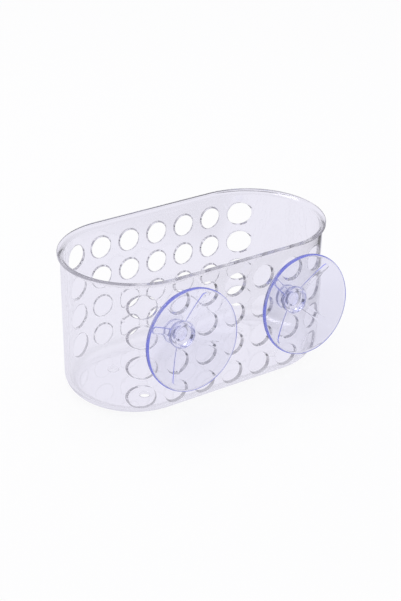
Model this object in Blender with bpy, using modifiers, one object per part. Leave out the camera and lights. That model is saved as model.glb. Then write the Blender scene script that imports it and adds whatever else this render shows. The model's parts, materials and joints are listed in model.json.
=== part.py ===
"""Clear suction cup bathroom shelf.

One moulded basket, pierced with rows of holes, hangs from two soft suction cups. Each cup's
neck passes through a hole in the wall side and its mushroom head holds it from inside.

Axes: X runs along the basket, +Y points at the wall that it hangs on, +Z is up.
The origin is the middle of the flat underside. Lengths are in metres.
"""

import math

import bmesh
import bpy
from mathutils import Matrix, Vector

MM = 0.001

# Basket, overall
BASKET_LENGTH = 171.0 * MM
BASKET_WIDTH = 88.0 * MM
BASKET_HEIGHT = 87.4 * MM
WALL = 2.0 * MM
BOTTOM_ROUND = 10.0 * MM
END_CENTRE = (BASKET_LENGTH - BASKET_WIDTH) / 2
END_STEPS = 24

# Rim flange, and the mould draft between it and the bottom
FLANGE_REACH = 1.7 * MM
FLANGE_DEPTH = 3.0 * MM
FLANGE_FILLET = 1.5 * MM
FLANGE_TOP_ROUND = 1.2 * MM
LIP_BREAK = 0.4 * MM
RADIUS_TOP = BASKET_WIDTH / 2 - FLANGE_REACH
RADIUS_BOTTOM = 41.2 * MM

# Side holes, in a grid on both long sides
HOLE_COLUMNS = 7
HOLE_PITCH_X = 19.67 * MM
HOLE_PITCH_Z = 19.26 * MM
HOLE_TOP_ROW_Z = 71.6 * MM
HOLE_ROWS = 4
HOLE_RADIUS_OUTSIDE = 7.6 * MM
HOLE_FLARE = 0.5
END_HOLE_FLARE = 0.03
HOLE_SIDES = 20

# Drain holes in the floor
DRAIN_RADIUS = 3.1 * MM
DRAIN_X = 45.7 * MM
DRAIN_Y = 17.9 * MM
DRAIN_SIDES = 16

# Suction cup. Its heights are measured along its own axis from the basket's outer face.
CUP_COLUMN = 2
CUP_ROW = 1
CUP_LEAN = math.radians(8.0)
CUP_RADIUS = 30.0 * MM
CUP_RIM_HEIGHT = 15.7 * MM
CUP_LIP_WIDTH = 1.2 * MM
CUP_EDGE = 1.1 * MM
DISH_CENTRE_HEIGHT = 6.5 * MM
DISH_POWER = 1.54
DIMPLE_RADIUS = 6.0 * MM
DIMPLE_DEPTH = 1.8 * MM
DIMPLE_POWER = 3
BACK_POWER = 1.25
HUB_RADIUS = 8.2 * MM
HUB_FOOT_HEIGHT = 1.6 * MM
HUB_TOP_HEIGHT = 5.2 * MM
NECK_RADIUS_HUB = 5.2 * MM
NECK_RADIUS_HEAD = 5.0 * MM
HEAD_RADIUS = 7.3 * MM
HEAD_FACE_HEIGHT = -3.6 * MM
HEAD_EDGE = 1.0 * MM
HEAD_DOME = 0.9 * MM
TURN_STEPS = 40

# Four stiffening ribs on the cup's back, and how far each cup is turned
RIB_WIDTH = 3.6 * MM
RIB_REACH = 27.5 * MM
RIB_HEIGHT = 0.7 * MM
RIB_ROOT = 0.5 * MM
RIB_START = 5.0 * MM
RIB_TIP_STEPS = 6
CUP_TURN = {"right": math.radians(63.0), "left": math.radians(46.0)}

CLEAR_STYRENE = (0.90, 0.90, 0.96, 1.0)
CLEAR_VINYL = (0.80, 0.84, 0.97, 1.0)


def start_clean():
    for old in list(bpy.data.objects):
        bpy.data.objects.remove(old, do_unlink=True)


def new_collection(name):
    made = bpy.data.collections.new(name)
    bpy.context.scene.collection.children.link(made)
    return made


def clear_plastic(name, colour, roughness, ior):
    """A see-through moulded plastic."""
    made = bpy.data.materials.new(name)
    made.use_nodes = True
    shader = made.node_tree.nodes["Principled BSDF"]
    shader.inputs["Base Color"].default_value = colour
    shader.inputs["Roughness"].default_value = roughness
    shader.inputs["Metallic"].default_value = 0.0
    shader.inputs["IOR"].default_value = ior
    shader.inputs["Transmission Weight"].default_value = 1.0
    return made


def arc(centre, radius, first_degrees, last_degrees, steps):
    """Points of a circular arc, both ends included."""
    points = []
    for step in range(steps + 1):
        angle = math.radians(first_degrees + (last_degrees - first_degrees) * step / steps)
        points.append((centre[0] + radius * math.cos(angle), centre[1] + radius * math.sin(angle)))
    return points


def mesh_object(name, bm, collection):
    mesh = bpy.data.meshes.new(name)
    bm.to_mesh(mesh)
    bm.free()
    made = bpy.data.objects.new(name, mesh)
    collection.objects.link(made)
    return made


def as_cutter(item):
    item.hide_render = True
    item.display_type = "WIRE"
    return item


def outer_radius(height):
    """The drafted wall's outer radius about the end centres, at a height above the base."""
    wall_top = BASKET_HEIGHT - FLANGE_DEPTH - FLANGE_FILLET
    share = (height - BOTTOM_ROUND) / (wall_top - BOTTOM_ROUND)
    return RADIUS_BOTTOM + (RADIUS_TOP - RADIUS_BOTTOM) * share


def basket_section():
    """Half section through floor, wall and rim, as radius and height from axis to axis."""
    round_centre = (RADIUS_BOTTOM - BOTTOM_ROUND, BOTTOM_ROUND)
    flange_under = BASKET_HEIGHT - FLANGE_DEPTH
    flange_edge = BASKET_WIDTH / 2
    inner_top = RADIUS_TOP - WALL
    outline = [(0.0, 0.0)]
    outline += arc(round_centre, BOTTOM_ROUND, -90, 0, 6)
    fillet_centre = (RADIUS_TOP + FLANGE_FILLET, flange_under - FLANGE_FILLET)
    outline += arc(fillet_centre, FLANGE_FILLET, 180, 90, 3)
    outline.append((flange_edge, flange_under))
    top_centre = (flange_edge - FLANGE_TOP_ROUND, BASKET_HEIGHT - FLANGE_TOP_ROUND)
    outline += arc(top_centre, FLANGE_TOP_ROUND, 0, 90, 4)
    outline.append((inner_top + LIP_BREAK, BASKET_HEIGHT))
    outline.append((inner_top, BASKET_HEIGHT - LIP_BREAK))
    outline += arc(round_centre, BOTTOM_ROUND - WALL, 0, -90, 6)
    outline.append((0.0, WALL))
    return outline


def basket_shell(collection):
    """Carries the half section once round the plan: an end, a side, the other end, a side."""
    bm = bmesh.new()
    section = [bm.verts.new((END_CENTRE, -radius, height)) for radius, height in basket_section()]
    moving = [bm.edges.new(pair) for pair in zip(section, section[1:])]
    for side in (1, -1):
        start = moving + list({corner for edge in moving for corner in edge.verts})
        spun = bmesh.ops.spin(
            bm,
            geom=start,
            cent=(side * END_CENTRE, 0, 0),
            axis=(0, 0, 1),
            angle=math.pi,
            steps=END_STEPS,
        )
        moving = [item for item in spun["geom_last"] if isinstance(item, bmesh.types.BMEdge)]
        drawn = bmesh.ops.extrude_edge_only(bm, edges=moving)["geom"]
        corners = [item for item in drawn if isinstance(item, bmesh.types.BMVert)]
        bmesh.ops.translate(bm, verts=corners, vec=(-side * 2 * END_CENTRE, 0, 0))
        moving = [item for item in drawn if isinstance(item, bmesh.types.BMEdge)
                  and all(corner in corners for corner in item.verts)]
    bmesh.ops.remove_doubles(bm, verts=bm.verts, dist=0.001 * MM)
    bmesh.ops.recalc_face_normals(bm, faces=bm.faces)
    return mesh_object("basket", bm, collection)


def add_pin(bm, centre, side, radius_inside, radius_outside, length, sides):
    """A tapered core pin through a long side, narrow end inside the basket."""
    turn = Matrix.Rotation(-side * math.pi / 2, 4, "X")
    bmesh.ops.create_cone(
        bm,
        cap_ends=True,
        segments=sides,
        radius1=radius_inside,
        radius2=radius_outside,
        depth=length,
        matrix=Matrix.Translation(centre) @ turn,
    )


def hole_x(column):
    return column * HOLE_PITCH_X


def hole_z(row):
    return HOLE_TOP_ROW_Z - row * HOLE_PITCH_Z


def wall_y(x, height):
    """How far the wall's outer face is from the middle plane, at a place along the basket."""
    past_end = max(0.0, abs(x) - END_CENTRE)
    return math.sqrt(outer_radius(height) ** 2 - past_end ** 2)


def hole_pins(collection):
    """Pins for both sides' holes. Those that cross the round ends hardly flare."""
    bm = bmesh.new()
    half_length = 9.0 * MM
    last = HOLE_COLUMNS // 2
    for side in (1, -1):
        for column in range(-last, last + 1):
            flare = END_HOLE_FLARE if abs(column) == last else HOLE_FLARE
            for row in range(HOLE_ROWS):
                x = hole_x(column)
                z = hole_z(row)
                centre = Vector((x, side * wall_y(x, z), z))
                add_pin(
                    bm,
                    centre,
                    side,
                    HOLE_RADIUS_OUTSIDE - flare * half_length,
                    HOLE_RADIUS_OUTSIDE + flare * half_length,
                    2 * half_length,
                    HOLE_SIDES,
                )
    return as_cutter(mesh_object("hole_pins", bm, collection))


def drain_pins(collection):
    bm = bmesh.new()
    for x in (-DRAIN_X, DRAIN_X):
        for y in (-DRAIN_Y, DRAIN_Y):
            bmesh.ops.create_cone(
                bm,
                cap_ends=True,
                segments=DRAIN_SIDES,
                radius1=DRAIN_RADIUS,
                radius2=DRAIN_RADIUS,
                depth=4 * WALL,
                matrix=Matrix.Translation((x, y, WALL / 2)),
            )
    return as_cutter(mesh_object("drain_pins", bm, collection))


def cut(item, cutter):
    step = item.modifiers.new("cut_" + cutter.name, "BOOLEAN")
    step.operation = "DIFFERENCE"
    step.solver = "EXACT"
    step.object = cutter


def smooth(mesh, degrees):
    mesh.shade_smooth()
    mesh.set_sharp_from_angle(angle=math.radians(degrees))


def make_basket(collection, cutters):
    basket = basket_shell(collection)
    cut(basket, hole_pins(cutters))
    cut(basket, drain_pins(cutters))
    basket.data.materials.append(clear_plastic("clear_styrene", CLEAR_STYRENE, 0.05, 1.57))
    smooth(basket.data, 30)
    return basket


def back_height(radius):
    """Height of the dish's back over the hub, at a radius."""
    share = max(0.0, radius - HUB_RADIUS) / (CUP_RADIUS - HUB_RADIUS)
    rise = CUP_RIM_HEIGHT - CUP_EDGE - HUB_TOP_HEIGHT
    return HUB_TOP_HEIGHT + rise * share ** BACK_POWER


def front_height(radius):
    """Height of the dish's hollow face, with the dimple in its middle, at a radius."""
    share = radius / (CUP_RADIUS - CUP_LIP_WIDTH)
    sunk = max(0.0, 1 - (radius / DIMPLE_RADIUS) ** DIMPLE_POWER)
    dish = DISH_CENTRE_HEIGHT + (CUP_RIM_HEIGHT - DISH_CENTRE_HEIGHT) * share ** DISH_POWER
    return dish - DIMPLE_DEPTH * sunk


def cup_section():
    """Half section of a cup: down from the dish's middle over the lip, back, neck and head."""
    dimple_steps = 4
    front_steps = 7
    back_steps = 6
    head_steps = 5
    dish_radius = CUP_RADIUS - CUP_LIP_WIDTH
    outline = []
    for step in range(dimple_steps):
        radius = DIMPLE_RADIUS * step / dimple_steps
        outline.append((radius, front_height(radius)))
    for step in range(front_steps + 1):
        radius = DIMPLE_RADIUS + (dish_radius - DIMPLE_RADIUS) * step / front_steps
        outline.append((radius, front_height(radius)))
    outline.append((CUP_RADIUS, CUP_RIM_HEIGHT))
    for step in range(back_steps + 1):
        radius = CUP_RADIUS + (HUB_RADIUS - CUP_RADIUS) * step / back_steps
        outline.append((radius, back_height(radius)))
    outline.append((HUB_RADIUS, HUB_FOOT_HEIGHT))
    outline.append((NECK_RADIUS_HUB, HUB_FOOT_HEIGHT))
    outline.append((NECK_RADIUS_HEAD, HEAD_FACE_HEIGHT))
    outline.append((HEAD_RADIUS, HEAD_FACE_HEIGHT))
    dome_base = HEAD_FACE_HEIGHT - HEAD_EDGE
    for step in range(head_steps + 1):
        angle = math.radians(90 * step / head_steps)
        outline.append((HEAD_RADIUS * math.cos(angle), dome_base - HEAD_DOME * math.sin(angle)))
    return outline


def turned(name, outline, collection, closed=False):
    """Turns a half section about the Z axis."""
    bm = bmesh.new()
    corners = [bm.verts.new((radius, 0, height)) for radius, height in outline]
    for pair in zip(corners, corners[1:]):
        bm.edges.new(pair)
    if closed:
        bm.edges.new((corners[-1], corners[0]))
    made = mesh_object(name, bm, collection)
    turn = made.modifiers.new("turn", "SCREW")
    turn.axis = "Z"
    turn.steps = TURN_STEPS
    turn.render_steps = TURN_STEPS
    turn.use_merge_vertices = True
    turn.merge_threshold = 0.001 * MM
    turn.use_smooth_shade = True
    return made


def rib_band(collection):
    """A turned layer that follows the dish's back, from which the ribs are taken."""
    steps = 6
    radii = [RIB_START + (RIB_REACH + RIB_WIDTH - RIB_START) * step / steps for step in range(steps + 1)]
    outside = [(radius, back_height(radius) - RIB_HEIGHT) for radius in reversed(radii)]
    inside = [(radius, back_height(radius) + RIB_ROOT) for radius in radii]
    return turned("rib_band", inside + outside, collection, closed=True)


def rib_bars(collection):
    """Two crossed bars with round ends, seen along the cup's axis."""
    tip = RIB_REACH - RIB_WIDTH / 2
    half = arc((tip, 0), RIB_WIDTH / 2, -90, 90, RIB_TIP_STEPS)
    outline = half + [(-x, -y) for x, y in half]
    low = HUB_FOOT_HEIGHT - RIB_HEIGHT
    bars = []
    for number, angle in enumerate((0, math.pi / 2)):
        bm = bmesh.new()
        turn = Matrix.Rotation(angle, 4, "Z")
        corners = [bm.verts.new(turn @ Vector((x, y, low))) for x, y in outline]
        face = bm.faces.new(corners)
        raised = bmesh.ops.extrude_face_region(bm, geom=[face])["geom"]
        top = [item for item in raised if isinstance(item, bmesh.types.BMVert)]
        bmesh.ops.translate(bm, verts=top, vec=(0, 0, CUP_RIM_HEIGHT))
        bmesh.ops.recalc_face_normals(bm, faces=bm.faces)
        bars.append(mesh_object(f"rib_bar_{number}", bm, collection))
    return bars


def join(item, other, operation):
    step = item.modifiers.new(operation.lower() + "_" + other.name, "BOOLEAN")
    step.operation = operation
    step.solver = "EXACT"
    step.object = other


def cup_mesh(collection):
    """One suction cup about the Z axis, its hollow face up, ready to be placed."""
    cup = turned("cup_body", cup_section(), collection)
    band = rib_band(collection)
    helpers = [cup, band]
    for bar in rib_bars(collection):
        join(bar, band, "INTERSECT")
        join(cup, bar, "UNION")
        helpers.append(bar)
    bpy.context.view_layer.update()
    shaped = cup.evaluated_get(bpy.context.evaluated_depsgraph_get())
    mesh = bpy.data.meshes.new_from_object(shaped)
    for helper in helpers:
        bpy.data.objects.remove(helper, do_unlink=True)
    mesh.name = "suction_cup"
    mesh.materials.clear()
    mesh.materials.append(clear_plastic("clear_vinyl", CLEAR_VINYL, 0.08, 1.53))
    smooth(mesh, 30)
    return mesh


def place_cup(mesh, side_name, side, collection):
    """Seats a cup in its hole: the empty is the swivel, on the hole's centre and the cup's axis."""
    x = side * hole_x(CUP_COLUMN)
    z = hole_z(CUP_ROW)
    swivel = bpy.data.objects.new(f"swivel_{side_name}", None)
    swivel.empty_display_size = 10 * MM
    swivel.location = (x, wall_y(x, z) - WALL / 2, z)
    swivel.rotation_euler = (CUP_LEAN - math.pi / 2, 0, 0)
    collection.objects.link(swivel)
    cup = bpy.data.objects.new(f"suction_cup_{side_name}", mesh)
    cup.parent = swivel
    cup.location = (0, 0, WALL / 2)
    cup.rotation_euler = (0, 0, CUP_TURN[side_name])
    collection.objects.link(cup)
    return cup


def main():
    start_clean()
    shelf = new_collection("suction_cup_bathroom_shelf")
    cutters = new_collection("cutters")
    make_basket(shelf, cutters)
    mesh = cup_mesh(cutters)
    place_cup(mesh, "left", -1, shelf)
    place_cup(mesh, "right", 1, shelf)


main()
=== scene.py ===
"""Dresses the clear suction cup bathroom shelf: a pierced basket and two soft cups.

Each piece is made by its own operator, from sizes that the panel lists. X runs along the basket,
+Y points at the wall that it hangs on, +Z is up, and lengths are in metres.
"""

import json
import math

import bmesh
import bpy
from bpy.props import FloatProperty, FloatVectorProperty, IntProperty, PointerProperty
from mathutils import Matrix, Vector


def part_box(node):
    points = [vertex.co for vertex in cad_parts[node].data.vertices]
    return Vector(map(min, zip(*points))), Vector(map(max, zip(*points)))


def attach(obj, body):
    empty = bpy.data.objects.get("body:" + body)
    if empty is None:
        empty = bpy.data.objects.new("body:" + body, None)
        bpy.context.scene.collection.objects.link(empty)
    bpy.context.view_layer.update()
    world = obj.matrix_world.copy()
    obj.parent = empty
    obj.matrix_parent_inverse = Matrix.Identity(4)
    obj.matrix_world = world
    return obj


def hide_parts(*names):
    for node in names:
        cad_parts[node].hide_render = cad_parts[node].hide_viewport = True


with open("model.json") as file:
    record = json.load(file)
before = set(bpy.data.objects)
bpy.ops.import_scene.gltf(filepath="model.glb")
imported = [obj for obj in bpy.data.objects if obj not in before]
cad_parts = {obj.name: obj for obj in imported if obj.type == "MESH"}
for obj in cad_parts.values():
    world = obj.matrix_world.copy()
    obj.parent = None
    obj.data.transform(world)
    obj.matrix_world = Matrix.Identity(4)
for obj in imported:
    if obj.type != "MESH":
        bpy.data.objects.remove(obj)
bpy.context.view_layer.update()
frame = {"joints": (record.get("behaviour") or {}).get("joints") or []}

bl_info = {
    "name": "Clear suction cup shelf",
    "version": (1, 0, 0),
    "blender": (4, 5, 0),
    "location": "3D View > Sidebar > Shelf",
    "description": "Builds a clear basket with rows of holes, hung from two soft suction cups",
    "category": "Add Mesh",
}

MM = 0.001
BASKET_LOW, BASKET_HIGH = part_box("basket")


def length_setting(name, description, default):
    """A size in metres."""
    return FloatProperty(name=name, description=description, default=default, unit="LENGTH", precision=5)


def angle_setting(name, description, degrees):
    return FloatProperty(name=name, description=description, default=math.radians(degrees), subtype="ANGLE")


def number_setting(name, description, default):
    return FloatProperty(name=name, description=description, default=default)


def colour_setting(name, description, default):
    return FloatVectorProperty(
        name=name, description=description, default=default, subtype="COLOR", size=3, min=0, max=1
    )


class BasketSettings(bpy.types.PropertyGroup):
    """The basket's sizes, taken from the frame where it shows them."""

    length: length_setting("Length", "Over the rim, along X", BASKET_HIGH.x - BASKET_LOW.x)
    width: length_setting("Width", "Over the rim, along Y", BASKET_HIGH.y - BASKET_LOW.y)
    height: length_setting("Height", "From the underside to the rim's top", BASKET_HIGH.z - BASKET_LOW.z)
    wall: length_setting("Wall", "Thickness of the wall and the floor", 2.0 * MM)
    bottom_radius: length_setting("Bottom radius", "Outer radius of an end, at the bottom", 41.2 * MM)
    bottom_round: length_setting("Bottom round", "Outer rounding of the bottom edge", 10.0 * MM)
    flange_reach: length_setting("Flange reach", "How far the rim stands out of the wall", 1.7 * MM)
    flange_depth: length_setting("Flange depth", "Height of the rim's edge", 2.0 * MM)
    flange_fillet: length_setting("Flange fillet", "Width of the curve from the rim into the wall", 1.6 * MM)
    flange_curve: length_setting("Flange curve", "Height of that curve", 1.7 * MM)
    flange_round: length_setting("Flange round", "Rounding of the rim's outer top edge", 0.4 * MM)
    rim_round: length_setting("Rim round", "Width of the curve at the rim's inner top edge", 3.2 * MM)
    rim_curve: length_setting("Rim curve", "Height of that curve", 3.5 * MM)
    edge_break: length_setting("Edge break", "Rounding of the sharp edges", 0.3 * MM)
    drain_radius: length_setting("Drain radius", "Radius of a drain hole in the floor", 3.1 * MM)
    drain_x: length_setting("Drain X", "A drain hole's distance from the middle, along X", 45.7 * MM)
    drain_y: length_setting("Drain Y", "A drain hole's distance from the middle, along Y", 17.9 * MM)


class HoleSettings(bpy.types.PropertyGroup):
    """The grid of holes on both long sides."""

    columns: IntProperty(name="Columns", description="Holes along a side", default=7, min=3)
    rows: IntProperty(name="Rows", description="Rows of holes", default=4, min=1)
    pitch_x: length_setting("Pitch X", "Spacing along the basket", 19.67 * MM)
    pitch_z: length_setting("Pitch Z", "Spacing of the rows", 19.26 * MM)
    top_row: length_setting("Top row", "Height of the top row's middle", 71.6 * MM)
    radius_outside: length_setting("Radius outside", "At the wall's outer face", 7.3 * MM)
    radius_inside: length_setting("Radius inside", "At the inner face, on the flat sides", 6.6 * MM)
    end_radius_inside: length_setting("End radius inside", "At the inner face, on the round ends", 7.5 * MM)
    edge_break: length_setting("Edge break", "Rounding of a hole's edges", 0.25 * MM)


class CupSettings(bpy.types.PropertyGroup):
    """A suction cup's sizes. Its heights are measured along its axis from the basket's outer face."""

    radius: length_setting("Radius", "Radius of the rim", 30.0 * MM)
    rim_height: length_setting("Rim height", "Height of the flat lip", 15.7 * MM)
    lip_width: length_setting("Lip width", "Width of the flat lip", 1.2 * MM)
    edge: length_setting("Edge", "Thickness of the rim", 1.4 * MM)
    edge_break: length_setting("Edge break", "Rounding of the rim and the hub", 0.3 * MM)
    dish_height: length_setting("Dish height", "Height of the dish's middle", 6.5 * MM)
    dimple_radius: length_setting("Dimple radius", "Radius of the dimple in the dish's middle", 6.0 * MM)
    dimple_depth: length_setting("Dimple depth", "Depth of the dimple", 1.8 * MM)
    dimple_power: number_setting("Dimple power", "Steepness of its wall", 3.0)
    hub_radius: length_setting("Hub radius", "Radius of the hub behind the dish", 8.2 * MM)
    hub_foot: length_setting("Hub foot", "Height of the hub's face over the wall", 1.6 * MM)
    hub_top: length_setting("Hub top", "Height at which the dish leaves the hub", 5.2 * MM)
    neck_radius: length_setting("Neck radius", "Radius of the neck in the hole", 5.1 * MM)
    head_radius: length_setting("Head radius", "Radius of the mushroom head", 7.3 * MM)
    head_face: length_setting("Head face", "Height of the head's flat face", -3.6 * MM)
    head_edge: length_setting("Head edge", "Thickness of the head's rim", 1.0 * MM)
    head_dome: length_setting("Head dome", "Height of the head's dome", 0.9 * MM)
    ribs: IntProperty(name="Ribs", description="Stiffening ribs on the back", default=4, min=1)
    rib_width: length_setting("Rib width", "Width of a rib", 3.6 * MM)
    rib_reach: length_setting("Rib reach", "Radius that a rib reaches", 27.5 * MM)
    rib_height: length_setting("Rib height", "How far a rib stands out", 0.3 * MM)
    rib_slope: length_setting("Rib slope", "Width of a rib's sloping edge", 0.8 * MM)
    turn_left: angle_setting("Turn left", "Swivel of the left cup", 46)
    turn_right: angle_setting("Turn right", "Swivel of the right cup", 63)


class FinishSettings(bpy.types.PropertyGroup):
    """Tints of the two clear plastics, how strongly their depth colours them, and the cups' painted blue
    glow.
    """

    styrene_depth: colour_setting("Styrene depth", "What is left of light after a long way", (0.4, 0.37, 0.5))
    styrene_strength: number_setting("Styrene strength", "Absorption per metre", 2.5)
    vinyl_depth: colour_setting("Vinyl depth", "What is left of light after a long way", (0.05, 0.10, 0.94))
    vinyl_strength: number_setting("Vinyl strength", "Absorption per metre", 12.0)
    # Painted glow of the cups: a faint blue light that the vinyl gives off by itself, though it is no lamp
    vinyl_painted_glow: colour_setting("Vinyl glow", "What the vinyl's brightener gives off", (0.16, 0.25, 1.0))
    vinyl_painted_glow_strength: number_setting("Vinyl glow strength", "How much of it", 0.011)


class StageSettings(bpy.types.PropertyGroup):
    """Where the camera stands."""

    azimuth: angle_setting("Azimuth", "Camera's turn about Z", 145.148)
    elevation: angle_setting("Elevation", "Camera's height angle", 27.578)
    roll: angle_setting("Roll", "Camera's tilt about its own axis", 1.178)
    distance: length_setting("Distance", "From the camera to its target", 875.8 * MM)
    lens: number_setting("Lens", "Focal length in millimetres", 88.51)


GROUPS = {
    "shelf_basket": BasketSettings,
    "shelf_holes": HoleSettings,
    "shelf_cups": CupSettings,
    "shelf_finish": FinishSettings,
    "shelf_stage": StageSettings,
}


class Nodes:
    """A node tree, built by short calls."""

    def __init__(self, tree):
        self.tree = tree

    def add(self, kind, *values, **settings):
        """A node, its settings, and its inputs in order. None leaves an input alone."""
        made = self.tree.nodes.new(kind)
        for name, value in settings.items():
            setattr(made, name, value)
        for socket, value in zip(made.inputs, values):
            self.feed(socket, value)
        return made

    def feed(self, socket, value):
        if isinstance(value, bpy.types.NodeSocket):
            self.tree.links.new(value, socket)
        elif value is not None:
            socket.default_value = value

    def math(self, operation, *values):
        return self.add("ShaderNodeMath", *values, operation=operation).outputs[0]

    def root_of_squares(self, joined, *sides):
        """The root of two squares that are added, or of which the second is subtracted."""
        squares = [self.math("MULTIPLY", side, side) for side in sides]
        return self.math("SQRT", self.math(joined, *squares))


def geometry_tree(name, sizes):
    """An empty Geometry Nodes tree with its named inputs, and its builder."""
    tree = bpy.data.node_groups.new(name, "GeometryNodeTree")
    tree.interface.new_socket("Geometry", in_out="INPUT", socket_type="NodeSocketGeometry")
    for label, kind in sizes:
        tree.interface.new_socket(label, in_out="INPUT", socket_type="NodeSocket" + kind)
    tree.interface.new_socket("Geometry", in_out="OUTPUT", socket_type="NodeSocketGeometry")
    return Nodes(tree)


def finished_mesh(item, modifier):
    """What a modifier makes of an object, as a plain mesh. The modifier is removed."""
    bpy.context.view_layer.update()
    shaped = item.evaluated_get(bpy.context.evaluated_depsgraph_get())
    mesh = bpy.data.meshes.new_from_object(shaped)
    item.modifiers.remove(modifier)
    return mesh


def grown(item, tree, values):
    """Runs a Geometry Nodes tree on an object, and returns the result as a plain mesh."""
    modifier = item.modifiers.new(tree.name, "NODES")
    modifier.node_group = tree
    for socket in tree.interface.items_tree:
        if socket.in_out == "INPUT" and socket.name in values:
            modifier[socket.identifier] = values[socket.name]
    return finished_mesh(item, modifier)


def new_object(name, data):
    made = bpy.data.objects.new(name, data)
    bpy.context.scene.collection.objects.link(made)
    return made


def discard(item):
    """Removes an object and its mesh."""
    mesh = item.data
    bpy.data.objects.remove(item, do_unlink=True)
    bpy.data.meshes.remove(mesh)


def oval_arc(centre, across, up, first, last, steps):
    """Points of an oval's arc between two angles in degrees, both ends included."""
    angles = [math.radians(first + (last - first) * step / steps) for step in range(steps + 1)]
    return [(centre[0] + across * math.cos(a), centre[1] + up * math.sin(a)) for a in angles]


def arc(centre, radius, first, last, steps):
    return oval_arc(centre, radius, radius, first, last, steps)


# Points that are nearer to each other than this are one point
SEAM_GAP = 0.002 * MM

# How much more a large face counts than a small one, where 50 is no more
LARGE_FACE_WEIGHT = 80


def close_shell(bm, name):
    """Merges the seams, turns the faces outwards, and stops if the shell has a gap."""
    bmesh.ops.remove_doubles(bm, verts=bm.verts, dist=SEAM_GAP)
    bmesh.ops.recalc_face_normals(bm, faces=bm.faces)
    gaps = [edge for edge in bm.edges if len(edge.link_faces) != 2]
    if gaps:
        raise RuntimeError(f"{name} has {len(gaps)} open or doubled edges, one at {gaps[0].verts[0].co}")
    for face in bm.faces:
        face.smooth = True


def steady_normals(item):
    """Lets the large faces set the shading, so that flat plastic stays flat beside a rounded edge."""
    modifier = item.modifiers.new("steady", "WEIGHTED_NORMAL")
    modifier.mode = "FACE_AREA"
    modifier.weight = LARGE_FACE_WEIGHT
    modifier.keep_sharp = True
    old = item.data
    item.data = finished_mesh(item, modifier)
    bpy.data.meshes.remove(old)


def object_noise(nodes, scale, detail, roughness=0.5):
    """An uneven 0 to 1 pattern that stays on the object."""
    place = nodes.add("ShaderNodeTexCoord").outputs["Object"]
    noise = nodes.add("ShaderNodeTexNoise")
    nodes.feed(noise.inputs["Vector"], place)
    noise.inputs["Scale"].default_value = scale
    noise.inputs["Detail"].default_value = detail
    noise.inputs["Roughness"].default_value = roughness
    return noise.outputs["Fac"]


def mapped(nodes, value, low, high):
    """A 0 to 1 pattern, spread between two values."""
    ramp = nodes.add("ShaderNodeMapRange")
    nodes.feed(ramp.inputs["Value"], value)
    ramp.inputs["To Min"].default_value = low
    ramp.inputs["To Max"].default_value = high
    return ramp.outputs[0]


def bumped(nodes, pattern, height):
    """Shading as if a 0 to 1 pattern stood out by a height."""
    bump = nodes.add("ShaderNodeBump")
    bump.inputs["Strength"].default_value = 1.0
    bump.inputs["Distance"].default_value = height
    nodes.feed(bump.inputs["Height"], pattern)
    return bump.outputs["Normal"]


# How much of the plastic's tint a lamp's light takes on in it
LAMP_TINT = 0.5


def clear_plastic(name, ior, depth_colour, depth_strength, roughness, wave_scale, wave_height):
    """Clear moulded plastic: tinted by its depth, slightly wavy, with a faint uneven haze.

    Lamps shine straight through it, with part of its tint, so that its shadow stays pale.
    """
    material = bpy.data.materials.new(name)
    material.use_nodes = True
    nodes = Nodes(material.node_tree)
    shader = material.node_tree.nodes["Principled BSDF"]
    output = material.node_tree.nodes["Material Output"]
    shader.inputs["Base Color"].default_value = (1, 1, 1, 1)
    shader.inputs["IOR"].default_value = ior
    shader.inputs["Transmission Weight"].default_value = 1.0
    haze = object_noise(nodes, scale=140, detail=3)
    nodes.feed(shader.inputs["Roughness"], mapped(nodes, haze, *roughness))
    waves = object_noise(nodes, wave_scale, detail=2, roughness=0.4)
    nodes.feed(shader.inputs["Normal"], bumped(nodes, waves, wave_height))
    lamp_colour = [1 - LAMP_TINT + LAMP_TINT * channel for channel in depth_colour]
    lamps_through = nodes.add("ShaderNodeBsdfTransparent", (*lamp_colour, 1))
    is_lamp = nodes.add("ShaderNodeLightPath").outputs["Is Shadow Ray"]
    mixed = nodes.add("ShaderNodeMixShader", is_lamp, shader.outputs[0], lamps_through.outputs[0])
    nodes.feed(output.inputs["Surface"], mixed.outputs[0])
    depth = nodes.add("ShaderNodeVolumeAbsorption", (*depth_colour, 1), depth_strength)
    nodes.feed(output.inputs["Volume"], depth.outputs[0])
    return material


def clear_styrene():
    finish = bpy.context.scene.shelf_finish
    return clear_plastic(
        "clear_styrene",
        ior=1.57,
        depth_colour=finish.styrene_depth,
        depth_strength=finish.styrene_strength,
        roughness=(0.0, 0.03),
        wave_scale=70,
        wave_height=0.02 * MM,
    )


def clear_vinyl():
    """Soft vinyl with a painted faint blue glow: an emission of its own, which gathers where the cups are
    seen edge on and stands in for light caught at their edges.
    """
    finish = bpy.context.scene.shelf_finish
    material = clear_plastic(
        "clear_vinyl",
        ior=1.53,
        depth_colour=finish.vinyl_depth,
        depth_strength=finish.vinyl_strength,
        roughness=(0.01, 0.06),
        wave_scale=110,
        wave_height=0.02 * MM,
    )
    shader = material.node_tree.nodes["Principled BSDF"]
    # Painted glow: the vinyl gives off a faint blue light of its own
    shader.inputs["Emission Color"].default_value = (*finish.vinyl_painted_glow, 1)
    shader.inputs["Emission Strength"].default_value = finish.vinyl_painted_glow_strength
    return material


# How finely the basket is divided: a quarter of a hole, the wall from a hole to its cell's edge,
# a rounded edge, a round end, the rim's inner face and the rounded bottom
CELL_SIDE_STEPS = 10
FACE_STEPS = 6
BREAK_STEPS = 3
END_STEPS = 36
RIM_INNER_STEPS = 3
BOTTOM_STEPS = 8


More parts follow.
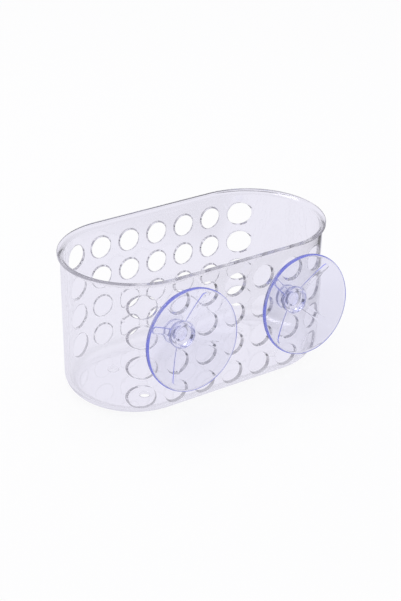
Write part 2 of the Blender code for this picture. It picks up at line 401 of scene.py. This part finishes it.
class BasketShape:
    """Works out where the basket's skin runs, from its settings."""

    def __init__(self, basket, holes):
        self.basket = basket
        self.holes = holes
        self.end_centre = (basket.length - basket.width) / 2
        self.top_radius = basket.width / 2 - basket.flange_reach
        self.round_centre = basket.bottom_radius - basket.bottom_round
        self.flange_under = basket.height - basket.flange_depth
        self.outer_slope = (self.top_radius - basket.bottom_radius) / (
            self.flange_under - basket.flange_curve - basket.bottom_round
        )
        self.inner_slope = (self.top_radius - basket.bottom_radius) / (
            basket.height - basket.rim_curve - basket.bottom_round
        )
        self.grid_top = holes.top_row + holes.pitch_z / 2
        self.grid_bottom = self.grid_top - holes.rows * holes.pitch_z
        self.grid_end = holes.columns * holes.pitch_x / 2

    def radius_at(self, height, inner):
        """The wall's radius about an end's centre. The wall is drafted above the rounded bottom."""
        basket = self.basket
        rounding = basket.bottom_round - (basket.wall if inner else 0)
        slope = self.inner_slope if inner else self.outer_slope
        below = max(0, basket.bottom_round - height)
        above = max(0, height - basket.bottom_round)
        return self.round_centre + math.sqrt(max(0, rounding**2 - below**2)) + slope * above

    def stations(self):
        """Places round the plan where the skin has an edge, as a side or an end of the basket."""
        count = self.holes.columns * CELL_SIDE_STEPS
        along = [self.grid_end * (1 - 2 * step / count) for step in range(count + 1)]
        inside = [step / END_STEPS for step in range(1, END_STEPS)]
        far = [("side", x, 1) for x in along]
        left = [("end", share, -1) for share in inside]
        near = [("side", x, -1) for x in reversed(along)]
        right = [("end", 1 - share, 1) for share in inside]
        return far + left + near + right

    def place(self, station, radius, height, held_radius):
        """Where the skin is at a station. held_radius sets the station's angle round an end."""
        kind, where, sign = station
        if kind == "side":
            past = abs(where) - self.end_centre
            if past <= 0:
                return Vector((where, sign * radius, height))
            angle = math.asin(past / held_radius)
            along = self.end_centre + radius * math.sin(angle)
            return Vector((math.copysign(along, where), sign * radius * math.cos(angle), height))
        first = math.asin((self.grid_end - self.end_centre) / held_radius)
        angle = first + (math.pi - 2 * first) * where
        return Vector((sign * (self.end_centre + radius * math.sin(angle)), radius * math.cos(angle), height))

    def rim_profile(self):
        """Radius, height and held radius, from the outer face up over the rim to the inner face."""
        basket = self.basket
        small = basket.edge_break
        outer_edge = basket.width / 2
        low = basket.height - basket.rim_curve
        under_centre = (self.top_radius + basket.flange_fillet, self.flange_under - basket.flange_curve)
        inner_centre = (self.top_radius - basket.wall + basket.rim_round, low)
        large = min(basket.flange_round, outer_edge - inner_centre[0])
        start = self.radius_at(self.grid_top, False)
        end = self.radius_at(self.grid_top, True)
        line = [(start, self.grid_top)]
        line += oval_arc(under_centre, basket.flange_fillet, basket.flange_curve, 180, 100, 8)
        line += arc((outer_edge - small, self.flange_under + small), small, -90, 0, 3)
        line += arc((outer_edge - large, basket.height - large), large, 0, 90, 6)
        line += oval_arc(inner_centre, basket.rim_round, basket.rim_curve, 90, 180, 10)
        for step in range(1, RIM_INNER_STEPS + 1):
            height = low + (self.grid_top - low) * step / RIM_INNER_STEPS
            line.append((self.radius_at(height, True), height))
        last = len(line) - 1
        return [(r, z, start + (end - start) * step / last) for step, (r, z) in enumerate(line)]

    def bottom_profile(self, inner):
        """Radius, height and held radius, from the lowest holes round the bottom to the flat floor."""
        basket = self.basket
        rounding = basket.bottom_round - (basket.wall if inner else 0)
        first = -math.degrees(math.asin((basket.bottom_round - self.grid_bottom) / rounding))
        held = self.radius_at(self.grid_bottom, inner)
        line = arc((self.round_centre, basket.bottom_round), rounding, first, -90, BOTTOM_STEPS)
        line[0] = (held, self.grid_bottom)
        return [(r, z, held) for r, z in line]

    def wall_rows(self):
        """Heights at which the blank end walls have an edge, in step with the holes."""
        count = self.holes.rows * CELL_SIDE_STEPS
        span = self.grid_top - self.grid_bottom
        return [self.grid_bottom + span * step / count for step in range(count + 1)]


def add_lattice(bm, rows, closed):
    """Quads between rows of points."""
    corners = [[bm.verts.new(point) for point in row] for row in rows]
    for low, high in zip(corners, corners[1:]):
        count = len(low)
        for step in range(count if closed else count - 1):
            after = (step + 1) % count
            bm.faces.new((low[step], low[after], high[after], high[step]))
    return corners


def hole_cell(holes, basket, radius_inside):
    """One hole with its share of wall. Y runs from 0 at the inner face to 1 at the outer face."""
    small = holes.edge_break
    rise = small / basket.wall
    outside = holes.radius_outside
    profile = [(1 - step / FACE_STEPS, outside + small, 1.0) for step in range(FACE_STEPS)]
    quarter = [math.pi / 2 * step / BREAK_STEPS for step in range(BREAK_STEPS + 1)]
    profile += [(0, outside + small * (1 - math.sin(a)), 1 - rise * (1 - math.cos(a))) for a in quarter]
    profile += [(0, radius_inside + small * (1 - math.cos(a)), rise * (1 - math.sin(a))) for a in quarter]
    profile += [((step + 1) / FACE_STEPS, radius_inside + small, 0.0) for step in range(FACE_STEPS)]
    half_x, half_z = holes.pitch_x / 2, holes.pitch_z / 2
    turns = [Matrix.Rotation(math.pi / 2 * side, 2) for side in range(4)]
    rows = []
    for towards_edge, radius, depth in profile:
        row = []
        for side in range(4):
            for step in range(CELL_SIDE_STEPS):
                share = 2 * step / CELL_SIDE_STEPS - 1
                angle = math.pi / 4 * share
                ring = turns[side] @ Vector((math.cos(angle), math.sin(angle))) * radius
                edge = turns[side] @ Vector((1, share))
                edge = Vector((edge.x * half_x, edge.y * half_z))
                point = ring.lerp(edge, towards_edge)
                row.append((point.x, depth, point.y))
        rows.append(row)
    bm = bmesh.new()
    add_lattice(bm, rows, True)
    mesh = bpy.data.meshes.new("hole_cell")
    bm.to_mesh(mesh)
    bm.free()
    return new_object("hole_cell", mesh)


PIERCED_INPUTS = [
    ("Columns", "Int"), ("Rows", "Int"), ("Pitch X", "Float"), ("Pitch Z", "Float"), ("Top Row", "Float"),
    ("Side", "Float"), ("End Centre", "Float"), ("Round Centre", "Float"), ("Bottom Round", "Float"),
    ("Wall", "Float"), ("Outer Slope", "Float"), ("Inner Slope", "Float"), ("Finish", "Material"),
]


def pierced_wall_tree():
    """Repeats a hole cell over a grid and bends it to the basket's wall."""
    nodes = geometry_tree("pierced_wall", PIERCED_INPUTS)
    given = nodes.add("NodeGroupInput").outputs
    width, depth = [
        nodes.math("MULTIPLY", nodes.math("SUBTRACT", given[count], 1), given[pitch])
        for count, pitch in (("Columns", "Pitch X"), ("Rows", "Pitch Z"))
    ]
    grid = nodes.add("GeometryNodeMeshGrid", width, depth, given["Columns"], given["Rows"])
    middle = nodes.math("SUBTRACT", given["Top Row"], nodes.math("DIVIDE", depth, 2))
    shift = nodes.add("ShaderNodeCombineXYZ", 0, 0, middle).outputs[0]
    stood = nodes.add("GeometryNodeTransform", grid.outputs[0])
    nodes.feed(stood.inputs["Translation"], shift)
    nodes.feed(stood.inputs["Rotation"], (math.pi / 2, 0, 0))
    cells = nodes.add("GeometryNodeInstanceOnPoints", stood.outputs[0])
    nodes.feed(cells.inputs["Instance"], given["Geometry"])
    real = nodes.add("GeometryNodeRealizeInstances", cells.outputs[0]).outputs[0]
    place = nodes.add("ShaderNodeSeparateXYZ", nodes.add("GeometryNodeInputPosition").outputs[0]).outputs
    below = nodes.math("MAXIMUM", nodes.math("SUBTRACT", given["Bottom Round"], place["Z"]), 0.0)
    above = nodes.math("MAXIMUM", nodes.math("SUBTRACT", place["Z"], given["Bottom Round"]), 0.0)
    inner_round = nodes.math("SUBTRACT", given["Bottom Round"], given["Wall"])
    radii = []
    for rounding, slope in ((given["Bottom Round"], "Outer Slope"), (inner_round, "Inner Slope")):
        bulge = nodes.root_of_squares("SUBTRACT", rounding, below)
        drafted = nodes.math("MULTIPLY_ADD", above, given[slope], bulge)
        radii.append(nodes.math("ADD", drafted, given["Round Centre"]))
    outer, inner = radii
    thickness = nodes.math("SUBTRACT", outer, inner)
    radius = nodes.math("MULTIPLY_ADD", thickness, place["Y"], inner)
    past = nodes.math("SUBTRACT", nodes.math("ABSOLUTE", place["X"]), given["End Centre"])
    from_middle = nodes.root_of_squares("SUBTRACT", radius, nodes.math("MAXIMUM", past, 0.0))
    bent_y = nodes.math("MULTIPLY", from_middle, given["Side"])
    bent = nodes.add("ShaderNodeCombineXYZ", place["X"], bent_y, place["Z"]).outputs[0]
    wall = nodes.add("GeometryNodeSetPosition", real)
    nodes.feed(wall.inputs["Position"], bent)
    finished = nodes.add("GeometryNodeSetMaterial", wall.outputs[0])
    nodes.feed(finished.inputs["Material"], given["Finish"])
    nodes.add("NodeGroupOutput", finished.outputs[0])
    return nodes.tree


def pierced_walls(bm, shape, material):
    """Adds both pierced sides. The end columns cross the round ends, and hardly flare."""
    basket, holes = shape.basket, shape.holes
    tree = pierced_wall_tree()
    groups = (
        (holes.columns - 2, holes.pitch_x, holes.radius_inside),
        (2, holes.pitch_x * (holes.columns - 1), holes.end_radius_inside),
    )
    for columns, pitch, radius_inside in groups:
        cell = hole_cell(holes, basket, radius_inside)
        for side in (1, -1):
            mesh = grown(cell, tree, {
                "Columns": columns,
                "Rows": holes.rows,
                "Pitch X": pitch,
                "Pitch Z": holes.pitch_z,
                "Top Row": holes.top_row,
                "Side": float(side),
                "End Centre": shape.end_centre,
                "Round Centre": shape.round_centre,
                "Bottom Round": basket.bottom_round,
                "Wall": basket.wall,
                "Outer Slope": shape.outer_slope,
                "Inner Slope": shape.inner_slope,
                "Finish": material,
            })
            bm.from_mesh(mesh)
            bpy.data.meshes.remove(mesh)
        discard(cell)
    bpy.data.node_groups.remove(tree)


def end_walls(bm, shape):
    """The blank wall round each end, inside and out, between the two pierced sides."""
    stations = shape.stations()
    turn = len(stations) // 2
    first = shape.holes.columns * CELL_SIDE_STEPS
    for start in (first, first + turn):
        round_end = [stations[(start + step) % len(stations)] for step in range(END_STEPS + 1)]
        for inner in (False, True):
            rows = []
            for height in shape.wall_rows():
                radius = shape.radius_at(height, inner)
                rows.append([shape.place(station, radius, height, radius) for station in round_end])
            add_lattice(bm, rows, False)


DRAIN_STEPS = 32


def drain_rows(shape, x, y):
    """Rings down a drain hole, from the floor's top to its underside."""
    basket = shape.basket
    small = basket.edge_break
    line = arc((basket.drain_radius + small, basket.wall - small), small, 90, 180, BREAK_STEPS)
    line += arc((basket.drain_radius + small, small), small, 180, 270, BREAK_STEPS)
    rows = []
    for radius, height in line:
        angles = [2 * math.pi * step / DRAIN_STEPS for step in range(DRAIN_STEPS)]
        rows.append([Vector((x + radius * math.cos(a), y + radius * math.sin(a), height)) for a in angles])
    return rows


def ring_edges(corners):
    """Pairs of neighbours round a closed ring."""
    return [(low, high) for low, high in zip(corners, corners[1:] + corners[:1])]


def floors(bm, shape, outer_ring, inner_ring):
    """The flat floor's underside and top, pierced by the drain holes."""
    basket = shape.basket
    top_edges = ring_edges(inner_ring)
    under_edges = ring_edges(outer_ring)
    for x in (-basket.drain_x, basket.drain_x):
        for y in (-basket.drain_y, basket.drain_y):
            rings = add_lattice(bm, drain_rows(shape, x, y), True)
            top_edges += ring_edges(rings[0])
            under_edges += ring_edges(rings[-1])
    for pairs in (top_edges, under_edges):
        edges = [bm.edges.get(pair) or bm.edges.new(pair) for pair in pairs]
        bmesh.ops.triangle_fill(bm, use_beauty=True, use_dissolve=False, edges=edges)


def skin_round_plan(bm, shape, profile):
    """Carries a profile once round the plan."""
    stations = shape.stations()
    rows = [[shape.place(station, r, z, held) for station in stations] for r, z, held in profile]
    return add_lattice(bm, rows, True)


def basket_mesh(shape, material):
    bm = bmesh.new()
    pierced_walls(bm, shape, material)
    end_walls(bm, shape)
    skin_round_plan(bm, shape, shape.rim_profile())
    outer = skin_round_plan(bm, shape, shape.bottom_profile(False))
    inner = skin_round_plan(bm, shape, shape.bottom_profile(True))
    floors(bm, shape, outer[-1], inner[-1])
    close_shell(bm, "the basket")
    mesh = bpy.data.meshes.new("clear_basket")
    bm.to_mesh(mesh)
    bm.free()
    mesh.materials.clear()
    mesh.materials.append(material)
    return mesh


class SHELF_OT_basket(bpy.types.Operator):
    """Build the clear basket: pierced walls, flanged rim, rounded bottom and drained floor"""

    bl_idname = "shelf.basket"
    bl_label = "Basket"

    def execute(self, context):
        shape = BasketShape(context.scene.shelf_basket, context.scene.shelf_holes)
        basket = new_object("clear_basket", basket_mesh(shape, clear_styrene()))
        steady_normals(basket)
        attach(basket, "basket")
        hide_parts("basket")
        return {"FINISHED"}


# How steeply the cup's back and its dish rise towards the rim
BACK_POWER = 1.25
DISH_POWER = 1.54

# How finely a cup is divided: the dimple, the dish, the back, the head's dome, a rib's sloping edge
# and the way from one rib to the next
DIMPLE_STEPS = 28
DISH_STEPS = 32
BACK_STEPS = 64
DOME_STEPS = 12
RIB_SLOPE_STEPS = 4
FAN_STEPS = 32


class CupShape:
    """Works out a cup's section, and its edges round the axis."""

    def __init__(self, cup):
        self.cup = cup

    def back_height(self, radius):
        cup = self.cup
        share = max(0, radius - cup.hub_radius) / (cup.radius - cup.hub_radius)
        return cup.hub_top + (cup.rim_height - cup.edge - cup.hub_top) * share**BACK_POWER

    def front_height(self, radius):
        cup = self.cup
        share = radius / (cup.radius - cup.lip_width)
        sunk = max(0, 1 - (radius / cup.dimple_radius) ** cup.dimple_power)
        dish = cup.dish_height + (cup.rim_height - cup.dish_height) * share**DISH_POWER
        return dish - cup.dimple_depth * sunk

    def section(self):
        """Radius, height and whether the point is on the ribbed back, from the dish's middle to the head."""
        cup = self.cup
        small = cup.edge_break
        dish_radius = cup.radius - cup.lip_width
        dish_width = dish_radius - cup.dimple_radius
        radii = [cup.dimple_radius * (1 - (1 - step / DIMPLE_STEPS) ** 2) for step in range(DIMPLE_STEPS)]
        radii += [cup.dimple_radius + dish_width * step / DISH_STEPS for step in range(DISH_STEPS + 1)]
        line = [(radius, self.front_height(radius)) for radius in radii]
        line += arc((cup.radius - small, cup.rim_height - small), small, 90, 0, 4)
        line += arc((cup.radius - small, cup.rim_height - cup.edge + small), small, 0, -60, 3)
        back_start = cup.radius - 2 * small
        ribbed = []
        for step in range(BACK_STEPS + 1):
            radius = back_start + (cup.hub_radius + small - back_start) * step / BACK_STEPS
            ribbed.append((radius, self.back_height(radius)))
        hub = arc((cup.hub_radius + small, cup.hub_top - small), small, 120, 180, 3)
        hub += arc((cup.hub_radius - small, cup.hub_foot + small), small, 0, -90, 4)
        hub += arc((cup.neck_radius + small, cup.hub_foot - small), small, 90, 180, 3)
        hub += arc((cup.neck_radius + small, cup.head_face + small), small, 180, 270, 3)
        hub += arc((cup.head_radius - small, cup.head_face - small), small, 90, 0, 4)
        dome_centre = (0, cup.head_face - cup.head_edge)
        hub += oval_arc(dome_centre, cup.head_radius, -cup.head_dome, 0, 90, DOME_STEPS)
        stretches = ((line, 0.0), (ribbed, 1.0), (hub, 0.0))
        return [(r, z, on_back) for stretch, on_back in stretches for r, z in stretch]

    def angles(self, radius):
        """Angles of the edges at a radius. Near a rib they run along it, elsewhere they fan out."""
        cup = self.cup
        held = max(radius, cup.hub_radius)
        half = cup.rib_width / 2
        steps = range(RIB_SLOPE_STEPS + 1)
        across = [half + cup.rib_slope * (0.5 - step / RIB_SLOPE_STEPS) for step in steps]
        across += [across[-1] / 2, 0]
        across += [-b for b in reversed(across[:-1])]
        beside = math.asin(across[0] / held)
        share = 2 * math.pi / cup.ribs
        fan = [beside + (share - 2 * beside) * step / FAN_STEPS for step in range(1, FAN_STEPS)]
        angles = []
        for rib in range(cup.ribs):
            angles += [share * rib + math.asin(b / held) for b in reversed(across)]
            angles += [share * rib + angle for angle in fan]
        return angles


RIB_INPUTS = [
    ("Ribs", "Float"), ("Width", "Float"), ("Reach", "Float"), ("Height", "Float"), ("Slope", "Float"),
    ("Finish", "Material"),
]


def rib_tree():
    """Raises straight ribs with round tips on the faces marked as the cup's back."""
    nodes = geometry_tree("cup_ribs", RIB_INPUTS)
    given = nodes.add("NodeGroupInput").outputs
    place = nodes.add("ShaderNodeSeparateXYZ", nodes.add("GeometryNodeInputPosition").outputs[0]).outputs
    radius = nodes.root_of_squares("ADD", place["X"], place["Y"])
    share = nodes.math("DIVIDE", 2 * math.pi, given["Ribs"])
    half_share = nodes.math("DIVIDE", share, 2)
    turned = nodes.math("ADD", nodes.math("ARCTAN2", place["Y"], place["X"]), half_share)
    nearest = nodes.math("SUBTRACT", nodes.math("FLOORED_MODULO", turned, share), half_share)
    along = nodes.math("MULTIPLY", radius, nodes.math("COSINE", nearest))
    across = nodes.math("MULTIPLY", radius, nodes.math("SINE", nearest))
    half_width = nodes.math("DIVIDE", given["Width"], 2)
    tip = nodes.math("SUBTRACT", given["Reach"], half_width)
    past_tip = nodes.math("MAXIMUM", nodes.math("SUBTRACT", along, tip), 0.0)
    from_spine = nodes.root_of_squares("ADD", past_tip, across)
    half_slope = nodes.math("DIVIDE", given["Slope"], 2)
    ramp = nodes.add("ShaderNodeMapRange", interpolation_type="SMOOTHSTEP")
    nodes.feed(ramp.inputs["Value"], from_spine)
    nodes.feed(ramp.inputs["From Min"], nodes.math("ADD", half_width, half_slope))
    nodes.feed(ramp.inputs["From Max"], nodes.math("SUBTRACT", half_width, half_slope))
    on_back = nodes.add("GeometryNodeInputNamedAttribute", "on_back", data_type="FLOAT").outputs[0]
    raised = nodes.math("MULTIPLY", nodes.math("MULTIPLY", ramp.outputs[0], on_back), given["Height"])
    offset = nodes.add("ShaderNodeCombineXYZ", 0, 0, nodes.math("MULTIPLY", raised, -1)).outputs[0]
    moved = nodes.add("GeometryNodeSetPosition", given["Geometry"])
    nodes.feed(moved.inputs["Offset"], offset)
    real = nodes.add("GeometryNodeRealizeInstances", moved.outputs[0])
    finished = nodes.add("GeometryNodeSetMaterial", real.outputs[0])
    nodes.feed(finished.inputs["Material"], given["Finish"])
    nodes.add("NodeGroupOutput", finished.outputs[0])
    return nodes.tree


def plain_cup(shape):
    """The turned cup about the Z axis, with its back marked for the ribs."""
    bm = bmesh.new()
    mark = bm.verts.layers.float.new("on_back")
    section = shape.section()
    rows = []
    for radius, height, _ in section:
        rows.append([(radius * math.cos(a), radius * math.sin(a), height) for a in shape.angles(radius)])
    corners = add_lattice(bm, rows, True)
    for row, (_, _, on_back) in zip(corners, section):
        for corner in row:
            corner[mark] = on_back
    close_shell(bm, "a cup")
    mesh = bpy.data.meshes.new("plain_cup")
    bm.to_mesh(mesh)
    bm.free()
    return new_object("plain_cup", mesh)


def seat(joint, turn, wall):
    """The matrix that stands a cup on its swivel, Z along the cup's axis."""
    axis = Vector(joint["axis"]).normalized()
    across = Vector((1, 0, 0))
    down = axis.cross(across)
    stand = Matrix((across, down, axis)).transposed().to_4x4()
    pivot = Vector(joint["pos_m"]) + axis * wall / 2
    return Matrix.Translation(pivot) @ stand @ Matrix.Rotation(turn, 4, "Z")


class SHELF_OT_cups(bpy.types.Operator):
    """Build the two suction cups, each on its swivel"""

    bl_idname = "shelf.cups"
    bl_label = "Suction cups"

    def execute(self, context):
        cup = context.scene.shelf_cups
        finish = clear_vinyl()
        plain = plain_cup(CupShape(cup))
        tree = rib_tree()
        ribbed = grown(plain, tree, {
            "Ribs": float(cup.ribs),
            "Width": cup.rib_width,
            "Reach": cup.rib_reach,
            "Height": cup.rib_height,
            "Slope": cup.rib_slope,
            "Finish": finish,
        })
        discard(plain)
        bpy.data.node_groups.remove(tree)
        joints = {joint["child"]: joint for joint in frame["joints"]}
        wall = context.scene.shelf_basket.wall
        for side, turn in (("left", cup.turn_left), ("right", cup.turn_right)):
            mesh = ribbed.copy()
            mesh.transform(seat(joints[f"cup_{side}"], turn, wall))
            made = new_object(f"vinyl_cup_{side}", mesh)
            steady_normals(made)
            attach(made, f"cup_{side}")
            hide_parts(f"suction_cup_{side}")
        bpy.data.meshes.remove(ribbed)
        return {"FINISHED"}


# Colour of the background through the plastic
SEEN_TINT = (0.84, 0.825, 0.925)

# Level directions to the photograph's front and to its right
FRONT = Vector((0.57, 0.82, 0.0))
RIGHT = Vector((-0.82, 0.57, 0.0))

# The floor. In reflections it loses a share of its light at the back, in front and on the right, and
# the share changes over these distances from the object's middle
FLOOR_SIZE = 8.0
FLOOR_TONES = (0.84, 0.86)
FLOOR_FRONT_EDGE = (-0.06, 0.02)
FLOOR_RIGHT_EDGE = (0.1, 0.16)
BACK_LOSS = 0.2
FRONT_LOSS = 0.35
RIGHT_LOSS = 0.95

# The floor is this much plain white, and the rest of it is lit and carries the object's shadow
WHITE_SHARE = 0.85
WHITE_SHARE_MORE_TO_CAMERA = 0.05

# The studio. Its dark parts fade in over the first range of a direction and out over a range of heights,
# where 1 is straight there or straight up
BEHIND_EDGE = (0.3, 0.7)
BEHIND_TOP = (0.3, 0.42)
SIDE_EDGE = (0.2, 0.6)
SIDE_TOP = (0.45, 0.75)
DARK_LOSS = 0.8
SOFT_LIGHT = 0.7

# A soft window, which shows only in light that is reflected once
WINDOW = Vector((0.47, -0.27, 0.84))
WINDOW_EDGE = (0.95, 0.97)
WINDOW_STRENGTH = 4.0

# The even level of light that goes round inside the plastic, and the reflections it takes to get there
INNER_LEVEL = 0.58
INNER_FROM = 5.0
INNER_TO = 10.0

LAMP_PLACE = (0.1, -0.3, 1.5)
LAMP_SIZE = (1.0, 0.8)
LAMP_WATTS = 12
BOUNCES = 128
TRANSPARENT_BOUNCES = 64


def light_path(nodes, name):
    return nodes.add("ShaderNodeLightPath").outputs[name]


def seen_rays(nodes):
    """1 for rays that show the background: from the camera, off gloss, or through clear plastic."""
    seen = nodes.math("MAXIMUM", light_path(nodes, "Is Camera Ray"), light_path(nodes, "Is Glossy Ray"))
    return nodes.math("MAXIMUM", seen, light_path(nodes, "Is Transmission Ray"))


def seen_colour(nodes):
    """White where the background is seen directly, and a pale lavender through the plastic."""
    shown = nodes.add("ShaderNodeMix", data_type="RGBA")
    nodes.feed(shown.inputs["Factor"], light_path(nodes, "Is Camera Ray"))
    nodes.feed(shown.inputs[6], (*SEEN_TINT, 1))
    nodes.feed(shown.inputs[7], (1, 1, 1, 1))
    return shown.outputs[2]


def eased(nodes, value, first, last, low, high):
    """A smooth change from low to high, while a value goes from first to last."""
    ramp = nodes.add("ShaderNodeMapRange", value, first, last, low, high, interpolation_type="SMOOTHSTEP")
    return ramp.outputs[0]


def along(nodes, place, direction):
    """How far a place lies in a direction."""
    return nodes.add("ShaderNodeVectorMath", place, direction, operation="DOT_PRODUCT").outputs["Value"]


def dimmed(nodes, light, share):
    """Light that is left after a share of it is taken."""
    return nodes.math("MULTIPLY", light, nodes.math("SUBTRACT", 1.0, share))


def reflections(nodes, first, last):
    """0 for light seen straight through, and 1 after some reflections on or inside the plastic."""
    ramp = nodes.add("ShaderNodeMapRange", light_path(nodes, "Glossy Depth"), first, last, 0.0, 1.0)
    return ramp.outputs[0]


def evened_inside(nodes, level):
    """Light that goes round inside the plastic comes from all sides at once, and evens out."""
    deep = reflections(nodes, INNER_FROM, INNER_TO)
    return nodes.math("MULTIPLY_ADD", deep, nodes.math("SUBTRACT", INNER_LEVEL, level), level)


def pale_floor():
    """A pale floor that shows as white with the object's soft shadow, and is darker in reflections."""
    material = bpy.data.materials.new("pale_floor")
    material.use_nodes = True
    nodes = Nodes(material.node_tree)
    shader = material.node_tree.nodes["Principled BSDF"]
    shader.inputs["Roughness"].default_value = 0.9
    shader.inputs["Specular IOR Level"].default_value = 0.0
    tone = mapped(nodes, object_noise(nodes, scale=40, detail=4), *FLOOR_TONES)
    nodes.feed(shader.inputs["Base Color"], nodes.add("ShaderNodeCombineXYZ", tone, tone, tone).outputs[0])
    place = nodes.add("ShaderNodeTexCoord").outputs["Object"]
    front_loss = eased(nodes, along(nodes, place, FRONT), *FLOOR_FRONT_EDGE, BACK_LOSS, FRONT_LOSS)
    right_loss = eased(nodes, along(nodes, place, RIGHT), *FLOOR_RIGHT_EDGE, 0.0, RIGHT_LOSS)
    level = dimmed(nodes, 1.0, nodes.math("MULTIPLY", front_loss, reflections(nodes, 1, 2)))
    level = dimmed(nodes, level, nodes.math("MULTIPLY", right_loss, reflections(nodes, 0, 1)))
    white = nodes.add("ShaderNodeEmission", seen_colour(nodes), evened_inside(nodes, level))
    direct = light_path(nodes, "Is Camera Ray")
    white_share = nodes.math("MULTIPLY_ADD", direct, WHITE_SHARE_MORE_TO_CAMERA, WHITE_SHARE)
    share = nodes.math("MULTIPLY", seen_rays(nodes), white_share)
    mixed = nodes.add("ShaderNodeMixShader", share, shader.outputs[0], white.outputs[0])
    nodes.feed(material.node_tree.nodes["Material Output"].inputs["Surface"], mixed.outputs[0])
    return material


def studio_world():
    """A white studio, dark low down behind the object and, for reflections, in front and on the right."""
    world = bpy.data.worlds.new("studio")
    bpy.context.scene.world = world
    world.use_nodes = True
    nodes = Nodes(world.node_tree)
    background = world.node_tree.nodes["Background"]
    place = nodes.add("ShaderNodeTexCoord").outputs["Generated"]
    height = nodes.add("ShaderNodeSeparateXYZ", place).outputs["Z"]
    behind = eased(nodes, along(nodes, place, -FRONT), *BEHIND_EDGE, 0.0, 1.0)
    reflected = reflections(nodes, 0, 1)
    low_behind = nodes.math("MULTIPLY", behind, eased(nodes, height, *BEHIND_TOP, DARK_LOSS, 0.0))
    level = dimmed(nodes, 1.0, low_behind)
    for direction in (FRONT, RIGHT):
        side = eased(nodes, along(nodes, place, direction), *SIDE_EDGE, 0.0, 1.0)
        low = nodes.math("MULTIPLY", side, eased(nodes, height, *SIDE_TOP, DARK_LOSS, 0.0))
        level = dimmed(nodes, level, nodes.math("MULTIPLY", low, reflected))
    mirrored = dimmed(nodes, reflected, reflections(nodes, 1, 2))
    bright = eased(nodes, along(nodes, place, WINDOW), *WINDOW_EDGE, 0.0, WINDOW_STRENGTH)
    level = nodes.math("MULTIPLY_ADD", bright, mirrored, level)
    level = evened_inside(nodes, level)
    seen = seen_rays(nodes)
    soft = nodes.math("MULTIPLY", nodes.math("SUBTRACT", 1, seen), SOFT_LIGHT)
    strength = nodes.math("MULTIPLY_ADD", seen, level, soft)
    nodes.feed(background.inputs["Strength"], strength)
    nodes.feed(background.inputs["Color"], seen_colour(nodes))


def soft_lamp(name, place, target, size, watts):
    """An area lamp that lights the object, and isn't seen in the plastic."""
    lamp = bpy.data.lights.new(name, "AREA")
    lamp.shape = "RECTANGLE"
    lamp.size, lamp.size_y = size
    lamp.energy = watts
    made = new_object(name, lamp)
    made.location = place
    made.rotation_euler = (Vector(target) - Vector(place)).to_track_quat("-Z", "Y").to_euler()
    made.visible_glossy = False
    made.visible_transmission = False


CAMERA_TARGET = Vector((-0.74, 6.32, 45.51)) * MM
LONG_SIDE_SENSOR = 36.0
CAMERA_CLIP = (0.05, 50)


def add_camera(stage):
    """Stands the camera where the photograph was taken from."""
    turn = stage.azimuth
    rise = stage.elevation
    back = Vector((math.sin(turn) * math.cos(rise), -math.cos(turn) * math.cos(rise), math.sin(rise)))
    right = (-back).cross(Vector((0, 0, 1))).normalized()
    up = back.cross(right)
    tilt = stage.roll
    tilted_right = right * math.cos(tilt) + up * math.sin(tilt)
    tilted_up = up * math.cos(tilt) - right * math.sin(tilt)
    data = bpy.data.cameras.new("camera")
    data.lens = stage.lens
    data.sensor_fit = "VERTICAL"
    data.sensor_height = LONG_SIDE_SENSOR
    data.sensor_width = LONG_SIDE_SENSOR
    data.clip_start, data.clip_end = CAMERA_CLIP
    camera = new_object("camera", data)
    facing = Matrix((tilted_right, tilted_up, back)).transposed().to_4x4()
    camera.matrix_world = Matrix.Translation(CAMERA_TARGET + back * stage.distance) @ facing
    bpy.context.scene.camera = camera


class SHELF_OT_stage(bpy.types.Operator):
    """Build the floor, the studio light and the camera"""

    bl_idname = "shelf.stage"
    bl_label = "Stage"

    def execute(self, context):
        scene = context.scene
        bpy.ops.mesh.primitive_plane_add(size=FLOOR_SIZE)
        floor = context.object
        floor.name = "floor"
        floor.data.materials.append(pale_floor())
        studio_world()
        middle = (0, 0, BASKET_HIGH.z / 2)
        soft_lamp("top_lamp", LAMP_PLACE, middle, LAMP_SIZE, LAMP_WATTS)
        add_camera(scene.shelf_stage)
        scene.view_settings.view_transform = "Standard"
        scene.cycles.max_bounces = BOUNCES
        scene.cycles.transmission_bounces = BOUNCES
        scene.cycles.glossy_bounces = BOUNCES
        scene.cycles.transparent_max_bounces = TRANSPARENT_BOUNCES
        return {"FINISHED"}


class SHELF_PT_panel(bpy.types.Panel):
    """Lists the steps and the sizes"""

    bl_idname = "SHELF_PT_panel"
    bl_label = "Clear suction cup shelf"
    bl_space_type = "VIEW_3D"
    bl_region_type = "UI"
    bl_category = "Shelf"

    def draw(self, context):
        column = self.layout.column()
        for step in OPERATORS:
            column.operator(step.bl_idname)
        for name, group in GROUPS.items():
            box = self.layout.box()
            settings = getattr(context.scene, name)
            for setting in group.__annotations__:
                box.prop(settings, setting)


OPERATORS = (SHELF_OT_basket, SHELF_OT_cups, SHELF_OT_stage)


def register():
    for name, group in GROUPS.items():
        bpy.utils.register_class(group)
        setattr(bpy.types.Scene, name, PointerProperty(type=group))
    for step in (*OPERATORS, SHELF_PT_panel):
        bpy.utils.register_class(step)


def unregister():
    for step in reversed((*OPERATORS, SHELF_PT_panel)):
        bpy.utils.unregister_class(step)
    for name, group in reversed(GROUPS.items()):
        delattr(bpy.types.Scene, name)
        bpy.utils.unregister_class(group)


def main():
    register()
    bpy.ops.shelf.basket()
    bpy.ops.shelf.cups()
    bpy.ops.shelf.stage()


if __name__ == "__main__":
    main()
